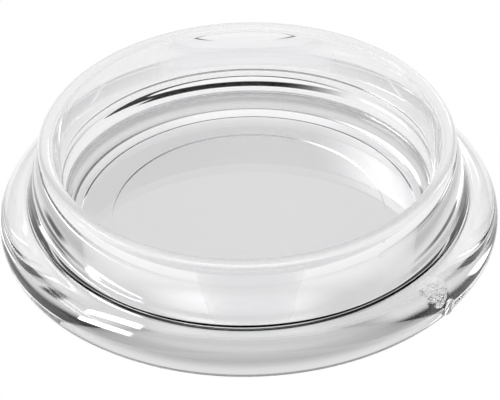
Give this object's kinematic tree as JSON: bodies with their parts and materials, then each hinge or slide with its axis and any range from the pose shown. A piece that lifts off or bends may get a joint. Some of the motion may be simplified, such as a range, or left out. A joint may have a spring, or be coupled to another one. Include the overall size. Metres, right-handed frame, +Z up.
{
  "type": "caster cup",
  "caption": "Round clear plastic caster cup: a thick dish with a rounded foot ring, leaning wall and full-round rim that holds a furniture caster or foot and spreads its load.",
  "frame": {"origin": "on the cup's axis, in the plane that it stands on", "axes": "+Z up along the cup's axis, out of its mouth; +X to the right and +Y away from the viewer, as in the picture"},
  "size_m": [0.066, 0.066, 0.0139],
  "materials": {
    "clear_plastic": "polished, glass-clear"
  },
  "bodies": {
    "root": {"cup": "clear_plastic"}
  },
  "joints": []
}
